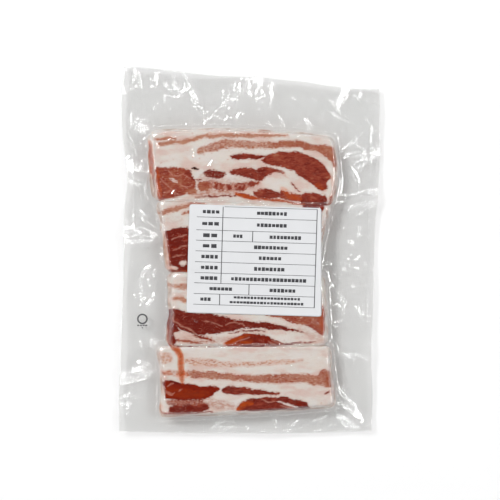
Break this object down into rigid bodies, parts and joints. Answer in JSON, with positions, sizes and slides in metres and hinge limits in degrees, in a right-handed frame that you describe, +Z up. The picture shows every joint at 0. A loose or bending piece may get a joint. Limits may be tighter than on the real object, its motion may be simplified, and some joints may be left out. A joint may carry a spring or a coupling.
{
  "type": "pack of pork belly",
  "caption": "Clear sealed pouch of thick pork belly slices laid side by side, with a flat film margin all round and a paper label across the middle.",
  "frame": {"origin": "middle of the pouch's outline, at the underside of the slices, on the surface it lies on", "axes": "+X across the pouch, +Y along it towards the wide top seal, +Z up, out of the labelled side"},
  "size_m": [0.2068, 0.2894, 0.0165],
  "materials": {
    "film": "clear glossy film, wrinkled, grey-white where two layers lie over a pale table",
    "label_paper": "smooth coated white paper",
    "print": "matt black ink",
    "meat": "moist raw pork: cream fat with red-brown lean streaks",
    "juice": "thin orange-red meat juice"
  },
  "bodies": {
    "root": {"pouch": "film", "label": "label_paper"}
  },
  "joints": []
}
